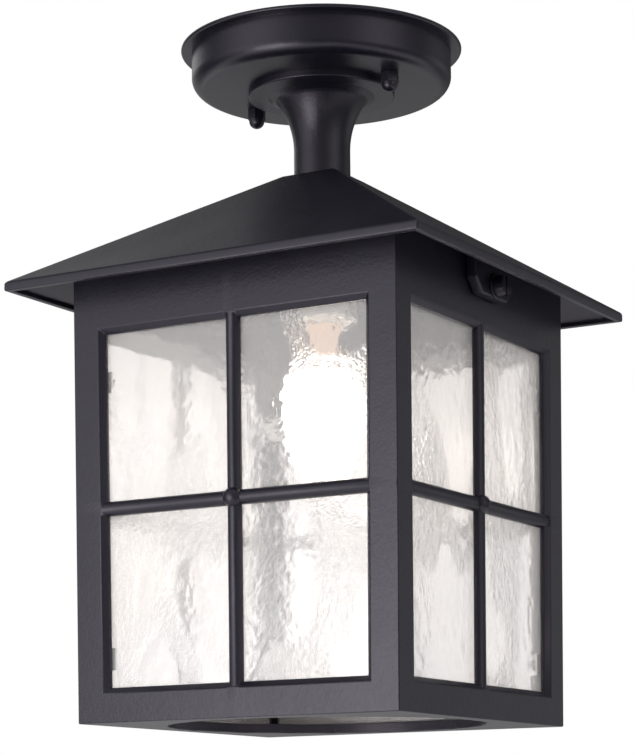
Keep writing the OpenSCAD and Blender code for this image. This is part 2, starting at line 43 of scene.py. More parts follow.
slotOf = {row["node"]: row["material_slot"] for row in frame["record"]["subparts"]}
bodyOf = {node: body for body, row in frame["record"]["behaviour"]["bodies"].items() for node in row}
scene = bpy.context.scene
mm = 0.001
print("frame loaded:", len(nodes), "nodes")


class Wire:  # one socket, with the operators that its sums need
    def __init__(self, graph, socket):
        self.graph, self.socket = graph, socket

    def maths(self, operation, *others):
        return self.graph.maths(operation, self, *others)

    def __add__(self, other):
        return self.maths("ADD", other)

    def __radd__(self, other):
        return self.graph.maths("ADD", other, self)

    def __sub__(self, other):
        return self.maths("SUBTRACT", other)

    def __rsub__(self, other):
        return self.graph.maths("SUBTRACT", other, self)

    def __mul__(self, other):
        return self.maths("MULTIPLY", other)

    def __rmul__(self, other):
        return self.graph.maths("MULTIPLY", other, self)

    def __truediv__(self, other):
        return self.maths("DIVIDE", other)

    def __pow__(self, other):
        return self.maths("POWER", other)

    def __gt__(self, other):
        return self.maths("GREATER_THAN", other)


class Graph:  # a node tree, and what makes its nodes
    def __init__(self, tree):
        self.tree = tree

    def make(self, kind, settings, values, output=0):
        node = self.tree.nodes.new(kind)
        for key, value in settings.items():
            setattr(node, key, value)
        for key, value in values.items():
            if isinstance(value, Wire):
                self.tree.links.new(value.socket, node.inputs[key])
            else:
                node.inputs[key].default_value = value
        return Wire(self, node.outputs[output])

    def maths(self, operation, *values):
        return self.make("ShaderNodeMath", {"operation": operation}, dict(enumerate(values)))

    def span(self, value, low, high, start=0.0, end=1.0, ease="LINEAR"):  # low..high becomes start..end
        return self.make("ShaderNodeMapRange", {"interpolation_type": ease},
                         {0: value, 1: low, 2: high, 3: start, 4: end})


class Finish(Graph):  # a material, its object coordinates and its shader
    feeds = {"colour": "Base Color", "rough": "Roughness", "glow": "Emission Color", "normal": "Normal"}
    noiseLow, noiseHigh = 0.3, 0.7   # most of a noise lies between these

    def __init__(self, name, fixed):
        self.material = bpy.data.materials.new(name)
        self.material.use_nodes = True
        super().__init__(self.material.node_tree)
        self.shader = self.tree.nodes["Principled BSDF"]
        self.place = self.make("ShaderNodeTexCoord", {}, {}, "Object")
        for key, value in fixed.items():
            self.shader.inputs[key].default_value = value

    def noise(self, scale, detail=2.0, rough=0.5):  # scale is in patches a metre
        return self.make("ShaderNodeTexNoise", {},
                         {"Vector": self.place, "Scale": scale, "Detail": detail, "Roughness": rough})

    def spread(self, noise, start=0.0, end=1.0):
        return self.span(noise, self.noiseLow, self.noiseHigh, start, end)

    def carried(self, name):  # a number stored on the piece's own mesh
        return self.make("ShaderNodeAttribute", {"attribute_name": name}, {}, "Fac")

    def blend(self, factor, low, high):  # inputs 6 and 7 and output 2 are the node's colours
        low = low if isinstance(low, Wire) else (*low, 1)
        return self.make("ShaderNodeMix", {"data_type": "RGBA"}, {0: factor, 6: low, 7: (*high, 1)}, 2)

    def bump(self, height, strength, depth, normal=None):
        values = {"Strength": strength, "Distance": depth, "Height": height}
        if normal:
            values["Normal"] = normal
        return self.make("ShaderNodeBump", {}, values)

    def feed(self, **links):
        for key, wire in links.items():
            self.tree.links.new(wire.socket, self.shader.inputs[self.feeds[key]])
        return self.material


class Recipe(Graph):  # a geometry node tree with named inputs
    kinds = {"shape": "NodeSocketGeometry", "number": "NodeSocketFloat", "count": "NodeSocketInt",
             "finish": "NodeSocketMaterial"}

    def __init__(self, name, inputs):
        super().__init__(bpy.data.node_groups.new(name, "GeometryNodeTree"))
        self.keys = {}
        for label, kind in {"Start": "shape", **inputs, "Finish": "finish"}.items():
            socket = self.tree.interface.new_socket(label, in_out="INPUT", socket_type=self.kinds[kind])
            self.keys[label] = socket.identifier
        self.tree.interface.new_socket("Piece", in_out="OUTPUT", socket_type=self.kinds["shape"])
        self.entry = self.tree.nodes.new("NodeGroupInput")

    def __getitem__(self, label):
        return Wire(self, self.entry.outputs[label])

    def vector(self, x, y, z):
        return self.make("ShaderNodeCombineXYZ", {}, {0: x, 1: y, 2: z})

    def position(self):  # x, y and z of each point
        point = self.make("GeometryNodeInputPosition", {}, {})
        return [self.make("ShaderNodeSeparateXYZ", {}, {0: point}, axis) for axis in range(3)]

    def noise(self, spot, seed, scale, detail=1.0, rough=0.5):
        return self.make("ShaderNodeTexNoise", {"noise_dimensions": "4D"},
                         {"Vector": spot, "W": seed, "Scale": scale, "Detail": detail, "Roughness": rough})

    def keep(self, shape, name, value):  # stores a number on the mesh, for its finish to read
        return self.make("GeometryNodeStoreNamedAttribute", {"data_type": "FLOAT", "domain": "POINT"},
                         {"Geometry": shape, "Name": name, "Value": value})

    def close(self, shape):
        shape = self.make("GeometryNodeRealizeInstances", {}, {"Geometry": shape})
        shape = self.make("GeometryNodeSetShadeSmooth", {}, {"Geometry": shape, "Shade Smooth": True})
        shape = self.make("GeometryNodeSetMaterial", {}, {"Geometry": shape, "Material": self["Finish"]})
        out = self.tree.nodes.new("NodeGroupOutput")
        self.tree.links.new(shape.socket, out.inputs[0])
        return self


def addObject(name, data):
    thing = bpy.data.objects.new(name, data)
    scene.collection.objects.link(thing)
    return thing


def applyModifier(piece, modifier):  # the mesh that it makes becomes the piece's own
    evaluated = piece.evaluated_get(bpy.context.evaluated_depsgraph_get())
    piece.data = bpy.data.meshes.new_from_object(evaluated)
    piece.modifiers.remove(modifier)


def grow(recipe, name, values, finish, place=Matrix.Identity(4), start=None):
    piece = addObject(name, start or bpy.data.meshes.new(name + "Start"))
    maker = piece.modifiers.new("maker", "NODES")
    maker.node_group = recipe.tree
    for label, value in {**values, "Finish": finish}.items():
        maker[recipe.keys[label]] = value
    applyModifier(piece, maker)
    piece.data.transform(place)
    return piece


def settle(piece, body, *stoodFor):  # rides on its body, and stands for its nodes, which it hides
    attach(piece, body)
    if stoodFor:
        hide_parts(*stoodFor)
    return piece


def faceOut(mesh):
    shape = bmesh.new()
    shape.from_mesh(mesh)
    bmesh.ops.recalc_face_normals(shape, faces=shape.faces)
    shape.to_mesh(mesh)
    shape.free()


# finishes: noise scales are in patches a metre, and depths in metres

castLook = {"dark": (0.0034, 0.0031, 0.0070), "light": (0.0056, 0.0051, 0.0102),
            "sheen": (0.94, 0.88, 1.0), "gloss": 0.55, "smooth": 0.31, "rough": 0.42,
            "cloudScale": 24, "waveStrength": 0.12, "waveDepth": 0.0012,
            "grainScale": 850, "grainStrength": 0.60, "grainDepth": 0.00012,
            "peelScale": 300, "peelStrength": 0.16, "peelDepth": 0.0004}
steelLook = dict(castLook, smooth=0.28, rough=0.37, grainStrength=0.40, peelStrength=0.10)


def powderCoat(name, look):
    finish = Finish(name, {"Specular IOR Level": look["gloss"], "Specular Tint": (*look["sheen"], 1)})
    cloud = finish.noise(look["cloudScale"], detail=3.0)
    grain = finish.noise(look["grainScale"], detail=3.0, rough=0.6)
    peel = finish.noise(look["peelScale"])
    normal = finish.bump(cloud, look["waveStrength"], look["waveDepth"])
    normal = finish.bump(peel, look["peelStrength"], look["peelDepth"], normal)
    normal = finish.bump(grain, look["grainStrength"], look["grainDepth"], normal)
    return finish.feed(
        colour=finish.blend(finish.spread(cloud), look["dark"], look["light"]),
        rough=finish.spread(grain * 0.5 + cloud * 0.5, look["smooth"], look["rough"]),
        normal=normal)


metalGrain = {"stainDetail": 4.0, "stainLow": 0.35, "stainHigh": 0.7, "stainShare": 0.6,
              "brushDepth": 0.00005}


def plainMetal(name, look):
    finish = Finish(name, {"Metallic": 1.0})
    stain = finish.noise(look["stainScale"], metalGrain["stainDetail"])
    brush = finish.noise(look["brushScale"])
    share = metalGrain["stainShare"]
    stained = finish.span(stain, metalGrain["stainLow"], metalGrain["stainHigh"])
    return finish.feed(
        colour=finish.blend(stained, look["bright"], look["dull"]),
        rough=finish.spread(stain * share + brush * (1 - share), look["smooth"], look["rough"]),
        normal=finish.bump(brush, look["brushStrength"], metalGrain["brushDepth"]))


plasticGrain = {"gloss": 0.45, "scale": 1800, "strength": 0.12, "depth": 0.00006}


def plainPlastic(name, look):
    finish = Finish(name, {"Specular IOR Level": plasticGrain["gloss"]})
    cloud = finish.noise(look["cloudScale"])
    grain = finish.noise(plasticGrain["scale"])
    return finish.feed(
        colour=finish.blend(finish.spread(cloud), look["dark"], look["light"]),
        rough=finish.spread(cloud, look["smooth"], look["rough"]),
        normal=finish.bump(grain, plasticGrain["strength"], plasticGrain["depth"]))


def stripedLead(name, look):  # green with a yellow side, on the number that the lead carries round itself
    finish = Finish(name, {"Specular IOR Level": plasticGrain["gloss"]})
    cloud = finish.noise(look["cloudScale"])
    edge = finish.carried("across") + (cloud - 0.5) * look["waver"]
    striped = finish.span(edge, -look["blur"], look["blur"])
    return finish.feed(
        colour=finish.blend(striped, look["green"], look["yellow"]),
        rough=finish.spread(cloud, look["smooth"], look["rough"]))


def waveGlass(name, look):
    finish = Finish(name, {"Transmission Weight": look["clear"], "IOR": look["refraction"]})
    stream = finish.carried("stream")
    crinkle = finish.noise(look["crinkleScale"], detail=3.0, rough=0.6)
    tinted = finish.span(finish.noise(look["tintScale"]), look["tintLow"], look["tintHigh"])
    pale = finish.blend(tinted, look["cool"], look["warm"])
    return finish.feed(
        colour=finish.blend(stream * look["streamGrey"], pale, look["grey"]),
        rough=finish.span(stream, 0.0, 1.0, look["smooth"], look["rough"]),
        normal=finish.bump(crinkle * (stream + look["calm"]), look["crinkleStrength"], look["crinkleDepth"]))


def litOpal(name, look):  # glow dimmer up in the neck and down at the tip, where the base colour is also painted darker and warmer as painted shade
    finish = Finish(name, {"Roughness": look["rough"], "Emission Strength": look["strength"]})
    height = finish.make("ShaderNodeSeparateXYZ", {}, {"Vector": finish.place}, "Z")
    neck = finish.span(height, look["lowZ"], look["highZ"])
    tip = finish.span(height, look["tipHighZ"], look["tipLowZ"])
    dim = neck + tip
    # base colour painted darker and warmer in the neck and at the tip: painted shade that follows the dimmer
    # glow
    return finish.feed(colour=finish.blend(dim, look["body"], look["bodyNeck"]),
                       glow=finish.blend(dim, look["core"], look["neck"]))


finishes = {
    "coat_cast": powderCoat("satinCoatCast", castLook),
    "coat_steel": powderCoat("satinCoatSteel", steelLook),
    "zinc": plainMetal("zincPlate", {
        "bright": (0.70, 0.71, 0.73), "dull": (0.46, 0.46, 0.45), "smooth": 0.22, "rough": 0.42,
        "stainScale": 90, "brushScale": 900, "brushStrength": 0.25}),
    "brass": plainMetal("plainBrass", {
        "bright": (0.83, 0.62, 0.30), "dull": (0.55, 0.37, 0.16), "smooth": 0.20, "rough": 0.42,
        "stainScale": 120, "brushScale": 1200, "brushStrength": 0.2}),
    "tag_brass": plainMetal("tagCopper", {
        "bright": (0.82, 0.50, 0.33), "dull": (0.48, 0.25, 0.15), "smooth": 0.25, "rough": 0.45,
        "stainScale": 150, "brushScale": 1200, "brushStrength": 0.2}),
    "earth_green": plainPlastic("greenScrew", {
        "dark": (0.03, 0.20, 0.07), "light": (0.05, 0.30, 0.10),
        "cloudScale": 200, "smooth": 0.25, "rough": 0.4}),
    "nylon": plainPlastic("whiteNylon", {
        "dark": (0.76, 0.74, 0.66), "light": (0.86, 0.84, 0.77),
        "cloudScale": 120, "smooth": 0.35, "rough": 0.5}),
    "brown_pvc": plainPlastic("brownLead", {
        "dark": (0.13, 0.05, 0.025), "light": (0.20, 0.08, 0.035),
        "cloudScale": 200, "smooth": 0.35, "rough": 0.5}),
    "blue_pvc": plainPlastic("blueLead", {
        "dark": (0.03, 0.10, 0.36), "light": (0.05, 0.16, 0.50),
        "cloudScale": 200, "smooth": 0.35, "rough": 0.5}),
    "earth_pvc": stripedLead("earthLead", {
        "green": (0.04, 0.26, 0.05), "yellow": (0.72, 0.60, 0.05),
        "cloudScale": 300, "waver": 0.1, "blur": 0.04, "smooth": 0.35, "rough": 0.5}),
    "holder_shell_black": powderCoat("blackLacquer", dict(steelLook, smooth=0.2, rough=0.3)),
    "porcelain": plainPlastic("porcelain", {
        "dark": (0.80, 0.77, 0.71), "light": (0.88, 0.86, 0.81),
        "cloudScale": 60, "smooth": 0.08, "rough": 0.18}),
    "clear_glass": waveGlass("wavedGlass", {
        "clear": 0.80, "refraction": 1.45, "cool": (0.95, 0.93, 0.925), "warm": (0.97, 0.94, 0.92),
        "tintScale": 14, "tintLow": 0.35, "tintHigh": 0.65, "grey": (0.86, 0.85, 0.84), "streamGrey": 0.12,
        "smooth": 0.02, "rough": 0.05, "crinkleScale": 500, "crinkleStrength": 1.0,
        "crinkleDepth": 0.0004, "calm": 0.18}),
    "opal_glass": litOpal("litOpal", {
        "strength": 7.0, "core": (1.0, 0.93, 0.84), "neck": (0.066, 0.044, 0.033),
        # the second body colour is painted shade for the neck and the tip
        "body": (0.90, 0.88, 0.84), "bodyNeck": (0.50, 0.40, 0.30), "rough": 0.3,
        "lowZ": -0.152, "highZ": -0.138, "tipHighZ": -0.180, "tipLowZ": -0.195}),
    "lamp_metal": plainMetal("nickelPlate", {
        "bright": (0.72, 0.69, 0.62), "dull": (0.50, 0.47, 0.41), "smooth": 0.2, "rough": 0.36,
        "stainScale": 120, "brushScale": 900, "brushStrength": 0.15}),
    "black_glass": plainPlastic("blackVitrite", {
        "dark": (0.01, 0.01, 0.01), "light": (0.016, 0.016, 0.018),
        "cloudScale": 200, "smooth": 0.1, "rough": 0.2}),
}
for name, piece in nodes.items():
    piece.data.materials.clear()
    piece.data.materials.append(finishes[slotOf[name]])
print("finishes made:", len(finishes))


# castings and fittings with their edges broken: width of the broken edge, and the shortest edge
# that gets it, in mm. Corners nearer than weld are merged. Lines, levels and corners say where faces
# with holes are cut, and bars keeps the bevel off the glazing bars' ends

usualEdge = {"shortest": 0, "weld": 0.002, "lines": [0], "levels": [], "corners": False, "bars": None,
             "clamp": False}
softEdges = {
    "roof": {"width": 0.8, "shortest": 3.0, "weld": 0.03},
    "cage": {"width": 0.5, "shortest": 4.0, "levels": [-205.9, -243.35, -168.45, -202.85, -208.85],
             "lines": [0, 30, -30, 3, -3], "corners": True,
             "bars": {"level": -205.9, "clear": 4.5, "corner": 66, "low": -290, "high": -117,
                      "shortest": 2.5}},
    "stem": {"width": 0.3, "clamp": True},
    "cap_nut_right": {"width": 0.2, "clamp": True},
    "cap_nut_left": {"width": 0.2, "clamp": True},
    "ceiling_cover": {"width": 0.2},
    "lug_screw_right": {"width": 0.2, "shortest": 0.6},
    "lug_screw_left": {"width": 0.2, "shortest": 0.6},
    "lug_washers": {"width": 0.2},
    "ceiling_bar": {"width": 0.25},
    "swivel_bar": {"width": 0.25},
    "stud_nuts": {"width": 0.2},
    "tube_nut_top": {"width": 0.3},
    "tube_nut_bottom": {"width": 0.3},
    "tube_washers": {"width": 0.15},
    "earth_screw": {"width": 0.15},
    "terminal_block": {"width": 0.25, "shortest": 3.0},
    "terminal_screws": {"width": 0.1},
    "holder_cap": {"width": 0.4},
    "holder_body": {"width": 0.7},
    "clip_screws": {"width": 0.1},
    "glass_clips": {"width": 0.12},
}
softAngle, flatAngle = math.radians(30), math.radians(0.3)
snap = 0.02 * mm       # a corner this near a cut is on it
onCut = 1.2 * snap     # and an edge this near one runs along it


def cutPlanes(look):  # planes that split each face with a hole in it before its triangles are merged
    planes = [(Vector(way) * at * mm, Vector(way)) for at in look["lines"] for way in ((1, 0, 0), (0, 1, 0))]
    planes += [(Vector((0, 0, level)) * mm, Vector((0, 0, 1))) for level in look["levels"]]
    if look["corners"]:
        planes += [(Vector(), Vector(way).normalized()) for way in ((1, 1, 0), (1, -1, 0))]
    return planes


def wanted(edge, look):  # long enough, and clear of the bars' ends unless on the cage's corners, foot or head
    if not edge.is_manifold or edge.calc_face_angle() < softAngle:
        return False
    length, bars = edge.calc_length() / mm, look["bars"]
    if not bars:
        return length >= look["shortest"]
    spot = (edge.verts[0].co + edge.verts[1].co) / 2 / mm
    across, up = min(abs(spot.x), abs(spot.y)), abs(spot.z - bars["level"])
    if across > bars["corner"] or not bars["low"] < spot.z < bars["high"]:
        return length >= bars["shortest"]
    return length >= look["shortest"] and min(across, up) >= bars["clear"]


def breakEdges(name, look):
    shape = bmesh.new()
    shape.from_mesh(nodes[name].data)
    bmesh.ops.remove_doubles(shape, verts=shape.verts, dist=look["weld"] * mm)
    planes = cutPlanes(look)
    for spot, way in planes:
        bmesh.ops.bisect_plane(shape, geom=shape.verts[:] + shape.edges[:] + shape.faces[:], dist=snap,
                               plane_co=spot, plane_no=way)
    for edge in shape.edges:
        for spot, way in planes:
            if all(abs((end.co - spot).dot(way)) < onCut for end in edge.verts):
                edge.seam = True   # where the merging stops
    bmesh.ops.dissolve_limit(shape, angle_limit=flatAngle, verts=shape.verts, edges=shape.edges,
                             delimit={"SEAM"})
    sharp = [edge for edge in shape.edges if wanted(edge, look)]
    bmesh.ops.bevel(shape, geom=sharp, offset=look["width"] * mm, offset_type="OFFSET", segments=2,
                    profile=0.5, affect="EDGES", clamp_overlap=look["clamp"])
    mesh = bpy.data.meshes.new("soft" + "".join(word.title() for word in name.split("_")))
    shape.to_mesh(mesh)
    shape.free()
    mesh.materials.append(finishes[slotOf[name]])
    mesh.shade_smooth()
    mesh.set_sharp_from_angle(angle=softAngle)
    piece = addObject(mesh.name, mesh)
    flats = piece.modifiers.new("flats", "WEIGHTED_NORMAL")   # large faces stay flat beside the soft edges
    flats.weight, flats.keep_sharp = 100, True
    applyModifier(piece, flats)
    settle(piece, bodyOf[name], name)


for name, look in softEdges.items():
    breakEdges(name, {**usualEdge, **look})
print("edges broken on:", len(softEdges), "pieces")


# fillet between the stem's flange and its flare, in mm; drop is its height as a share of its reach

filletLook = {"reach": 3.6, "drop": 0.77, "sink": 0.5, "steps": 10, "sides": 144,
              "flangeZ": -21.8, "flareRadius": 38.0, "flareHeight": 24.2, "tubeRadius": 12.2}


def stemFillet(look):
    def flare(z):  # the flare's radius at a height
        rise = z - look["flangeZ"] + look["flareHeight"]
        return look["tubeRadius"] + look["flareRadius"] - math.sqrt(look["flareRadius"] ** 2 - rise ** 2)
    footZ = look["flangeZ"] - look["reach"] * look["drop"]
    corner = Vector((flare(look["flangeZ"]), look["flangeZ"]))
    top, foot = corner + Vector((look["reach"], 0)), Vector((flare(footZ), footZ))
    steps = [step / look["steps"] for step in range(look["steps"] + 1)]
    line = [foot * (1 - t) ** 2 + corner * 2 * t * (1 - t) + top * t * t for t in steps]
    line += [top + Vector((0, look["sink"])), foot + Vector((-look["sink"], look["sink"]))]
    count, sides = len(line), look["sides"]
    turns = [2 * math.pi * side / sides for side in range(sides)]
    points = [Vector((r * math.cos(turn), r * math.sin(turn), z)) * mm for turn in turns for r, z in line]
    faces = []
    for side in range(sides):
        here, there = side * count, (side + 1) % sides * count
        faces += [(here + i, here + (i + 1) % count, there + (i + 1) % count, there + i)
                  for i in range(count)]
    mesh = bpy.data.meshes.new("stemFillet")
    mesh.from_pydata(points, [], faces)
    faceOut(mesh)
    mesh.shade_smooth()
    mesh.set_sharp_from_angle(angle=softAngle)
    mesh.materials.append(finishes[slotOf["stem"]])
    piece = addObject("stemFillet", mesh)
    settle(piece, bodyOf["stem"])


stemFillet(filletLook)
print("stem fillet made")


# the cage's walls lean in, and what they carry is placed in the wall's own frame, in mm

wallLook = {"wallHalf": 73.6, "foot": -292.6, "lean": 0.9022}   # the lean is in degrees


def wallFrame(turn, look):  # x along the wall, y inward from its outer face, z up from its foot
    return (Matrix.Rotation(math.radians(90 * turn), 4, "Z")
            @ Matrix.Translation((0, -look["wallHalf"] * mm, look["foot"] * mm))
            @ Matrix.Rotation(math.radians(look["lean"]), 4, "X"))


# bosses where the glazing bars cross

bossLook = {"radius": 4.05, "depth": 1.7, "level": 86.7, "flatten": 0.92, "segments": 40, "rings": 24}


def crossingBosses(look):
    spot = Matrix.Translation(Vector((0, look["depth"], look["level"])) * mm)
    squash = Matrix.Diagonal((1, look["flatten"], 1, 1))
    shape = bmesh.new()
    for turn in range(4):
        bmesh.ops.create_uvsphere(shape, u_segments=look["segments"], v_segments=look["rings"],
                                  radius=look["radius"] * mm,
                                  matrix=wallFrame(turn, wallLook) @ spot @ squash)
    mesh = bpy.data.meshes.new("crossingBosses")
    shape.to_mesh(mesh)
    shape.free()
    mesh.shade_smooth()
    mesh.materials.append(finishes[slotOf["cage"]])
    piece = addObject("crossingBosses", mesh)
    settle(piece, "lantern")


crossingBosses(bossLook)
print("crossing bosses made")


# waved glass: sizes in mm, noise scales in patches a metre, and a stretch under 1 draws a noise out upwards

paneLook = {"half": 64.4, "start": 4.02, "thick": 2.98, "low": 4.4, "tall": 163.6, "across": 150, "up": 190,
            "waveScale": 36.0, "waveDepth": 0.42, "waveStretch": 0.6,
            "streamScale": 24.0, "streamWidth": 0.065, "streamEdge": 0.35, "streamStretch": 0.45,
            "rippleScale": 200.0, "rippleDepth": 1.0, "calm": 0.6,
            "seed": 2.0, "seedStep": 11.0, "streamSeed": 3.0, "rippleSeed": 7.0}


def paneRecipe(look):
    recipe = Recipe("wavedPane", {"Width": "number", "Thickness": "number", "Height": "number",
                                  "Wave Depth": "number", "Ripple Depth": "number", "Seed": "number"})
    slab = recipe.make("GeometryNodeMeshCube", {}, {
        "Size": recipe.vector(recipe["Width"], recipe["Thickness"], recipe["Height"]),
        "Vertices X": look["across"], "Vertices Y": 2, "Vertices Z": look["up"]})
    x, y, z = recipe.position()
    seed = recipe["Seed"]
    wave = recipe.noise(recipe.vector(x, 0.0, z * look["waveStretch"]), seed, look["waveScale"])
    drift = recipe.noise(recipe.vector(x, 0.0, z * look["streamStretch"]), seed + look["streamSeed"],
                         look["streamScale"], detail=1.5)
    ripple = recipe.noise(recipe.vector(x, 0.0, z), seed + look["rippleSeed"], look["rippleScale"],
                          detail=3.0, rough=0.65)
    off = (drift - 0.5).maths("ABSOLUTE")   # how far a point is from the middle of a stream
    width = look["streamWidth"]
    stream = recipe.span(off, width, width * look["streamEdge"], ease="SMOOTHSTEP")
    choppy = stream * (1.0 - look["calm"]) + look["calm"]
    depth = recipe["Wave Depth"] * wave + recipe["Ripple Depth"] * ripple * choppy
    shape = recipe.make("GeometryNodeSetPosition", {}, {
        "Geometry": slab, "Selection": y > 0.0, "Offset": recipe.vector(0.0, 0.0 - depth, 0.0)})
    return recipe.close(recipe.keep(shape, "stream", stream))


def wavedPanes(look):
    maker = paneRecipe(look)
    middle = Vector((0, look["start"] + look["thick"] / 2, look["low"] + look["tall"] / 2)) * mm
    for turn, side in enumerate(["Front", "Right", "Back", "Left"]):
        sizes = {"Width": 2 * look["half"] * mm, "Thickness": look["thick"] * mm,
                 "Height": look["tall"] * mm, "Wave Depth": look["waveDepth"] * mm,
                 "Ripple Depth": look["rippleDepth"] * mm, "Seed": look["seed"] + look["seedStep"] * turn}
        pane = grow(maker, "wavedPane" + side, sizes, finishes["clear_glass"],
                    wallFrame(turn, wallLook) @ Matrix.Translation(middle))
        settle(pane, "lantern", "glass_" + side.lower())


wavedPanes(paneLook)
print("waved panes made")


# screw threads in mm, each with the depths of its outside and inside grooves, and its rings to a pitch

lampPitch = 2.82   # of the E14 cap and shell
threads = [
    {"name": "tubeThread", "node": "threaded_tube", "low": -77.0, "high": -10.6, "radius": 5.0,
     "bore": 4.0, "pitch": 1.0, "cut": 0.45, "innerCut": 0.0, "sides": 28, "rings": 5},
    {"name": "lampThread", "node": "lamp_cap", "low": -123.0, "high": -102.0, "radius": 6.95,
     "bore": 5.9, "pitch": lampPitch, "cut": 0.30, "innerCut": 0.0, "sides": 48, "rings": 12},
    {"name": "socketThread", "node": "holder_shell", "low": -120.0, "high": -98.0, "radius": 7.65,
     "bore": 7.25, "pitch": lampPitch, "cut": 0.0, "innerCut": 0.25, "sides": 48, "rings": 12},
]
runOut = 0.8            # of a pitch, over which a groove fades at its ends
threadAngle = math.radians(50)
seamGap = 0.001 * mm    # the wrapped grid's own edges are merged within this


def threadRecipe():  # a grid wrapped round the axis, up its outside and down its bore
    recipe = Recipe("screwThread", {"Low": "number", "High": "number", "Radius": "number", "Bore": "number",
                                    "Pitch": "number", "Cut": "number", "Inner Cut": "number",
                                    "Sides": "count", "Rings": "count"})
    loop = recipe["Rings"] * 2
    grid = recipe.make("GeometryNodeMeshGrid", {}, {
        "Size X": 1.0, "Size Y": 1.0, "Vertices X": loop + 1, "Vertices Y": recipe["Sides"] + 1})
    u, v = recipe.position()[:2]
    step = ((u + 0.5) * loop).maths("ROUND").maths("MODULO", loop)
    inside = step > recipe["Rings"] - 0.5
    rise = inside * (2.0 * recipe["Rings"] - 1.0 - step) + (1.0 - inside) * step
    z = recipe["Low"] + (recipe["High"] - recipe["Low"]) * rise / (recipe["Rings"] - 1.0)
    angle = (v + 0.5) * (2 * math.pi)
    wind = (z / recipe["Pitch"] - (v + 0.5)) * (2 * math.pi)
    groove = 0.5 - 0.5 * wind.maths("COSINE")
    fade = recipe["Pitch"] * runOut
    ends = recipe.span(z, recipe["Low"], recipe["Low"] + fade)
    ends = ends * recipe.span(z, recipe["High"], recipe["High"] - fade)
    groove = 1.0 - (1.0 - groove) * ends
    radius = (1.0 - inside) * (recipe["Radius"] - recipe["Cut"] * groove)
    radius = radius + inside * (recipe["Bore"] + recipe["Inner Cut"] * groove)
    place = recipe.vector(radius * angle.maths("COSINE"), radius * angle.maths("SINE"), z)
    shape = recipe.make("GeometryNodeSetPosition", {}, {"Geometry": grid, "Position": place})
    shape = recipe.make("GeometryNodeMergeByDistance", {}, {"Geometry": shape, "Distance": seamGap})
    return recipe.close(shape)


threadMaker = threadRecipe()
for look in threads:
    rings = int((look["high"] - look["low"]) / look["pitch"] * look["rings"])
    piece = grow(threadMaker, look["name"], {
        "Low": look["low"] * mm, "High": look["high"] * mm, "Radius": look["radius"] * mm,
        "Bore": look["bore"] * mm, "Pitch": look["pitch"] * mm, "Cut": look["cut"] * mm,
        "Inner Cut": look["innerCut"] * mm, "Sides": look["sides"], "Rings": rings},
        finishes[slotOf[look["node"]]])
    faceOut(piece.data)
    piece.data.set_sharp_from_angle(angle=threadAngle)
    settle(piece, bodyOf[look["node"]], look["node"])
print("threads cut:", len(threads))


# leads in mm, along the same routes as the solids

leadLook = {"radius": 1.1, "bend": 2.6, "sides": 16, "bendSteps": 6}
holderRoute = [(9, 27.5, -14.6), (9, 21.5, -14.2), (6.75, 16, -12.0), (2.6, 9, -8.6), (2, 4, -8.0),
               (2, 1.1, -9.0), (2, 0, -11.6), (2, 0, -78), (4.68, 0, -80.6), (7.33, 0, -82), (7.8, 0, -84.4)]
earthRoute = [(0, 27.5, -14.6), (0, 21.5, -14.2), (8, 15.5, -15.9), (17.6, 7.6, -15.7), (18.6, 3.2, -15.0),
              (15.6, 0, -15.3), (11, 0, -15.3)]
routes = {"liveLead": ("live_lead", [(-x, y, z) for x, y, z in holderRoute]),
          "neutralLead": ("neutral_lead", holderRoute),
          "earthLead": ("earth_lead", earthRoute)}


def leadRecipe():
    recipe = Recipe("sweptLead", {"Radius": "number", "Bend": "number", "Sides": "count",
                                  "Bend Steps": "count"})
    path = recipe.make("GeometryNodeMeshToCurve", {}, {"Mesh": recipe["Start"]})
    path = recipe.make("GeometryNodeFilletCurve", {"mode": "POLY"}, {
        "Curve": path, "Count": recipe["Bend Steps"], "Radius": recipe["Bend"], "Limit Radius": True})
    ring = recipe.make("GeometryNodeCurvePrimitiveCircle", {}, {
        "Resolution": recipe["Sides"], "Radius": recipe["Radius"]})
    ring = recipe.keep(ring, "across", recipe.position()[0] / recipe["Radius"])
    return recipe.close(recipe.make("GeometryNodeCurveToMesh", {}, {
        "Curve": path, "Profile Curve": ring, "Fill Caps": True}))


leadMaker = leadRecipe()
for name, (node, route) in routes.items():
    line = bpy.data.meshes.new(name + "Route")
    links = [(i, i + 1) for i in range(len(route) - 1)]
    line.from_pydata([Vector(point) * mm for point in route], links, [])
    piece = grow(leadMaker, name, {
        "Radius": leadLook["radius"] * mm, "Bend": leadLook["bend"] * mm, "Sides": leadLook["sides"],
        "Bend Steps": leadLook["bendSteps"]}, finishes[slotOf[node]], start=line)
    faceOut(piece.data)
    settle(piece, bodyOf[node], node)
print("leads swept:", len(routes))


# camera: place and clipping in metres, turns in degrees, lens and sensor in mm

view = {"place": (0.51007, -0.88508, -0.34489), "azimuth": 30.126, "pitch": 11.05, "roll": -0.486,
        "lens": 116.69, "sensor": 36.0, "near": 0.05, "far": 20.0}


def makeCamera(look):
    azimuth, pitch, roll = (math.radians(look[key]) for key in ("azimuth", "pitch", "roll"))
    ahead = Vector((-math.sin(azimuth) * math.cos(pitch), math.cos(azimuth) * math.cos(pitch),
                    math.sin(pitch)))
    level = Vector((math.cos(azimuth), math.sin(azimuth), 0))
    above = level.cross(ahead)
    right = level * math.cos(roll) + above * math.sin(roll)
    up = above * math.cos(roll) - level * math.sin(roll)
    data = bpy.data.cameras.new("photographCamera")
    data.sensor_width, data.sensor_fit, data.lens = look["sensor"], "AUTO", look["lens"]
    data.clip_start, data.clip_end = look["near"], look["far"]
    camera = addObject("photographCamera", data)
    turn = Matrix((right, up, -ahead)).transposed().to_4x4()
    camera.matrix_world = Matrix.Translation(look["place"]) @ turn
    scene.camera = camera


makeCamera(view)

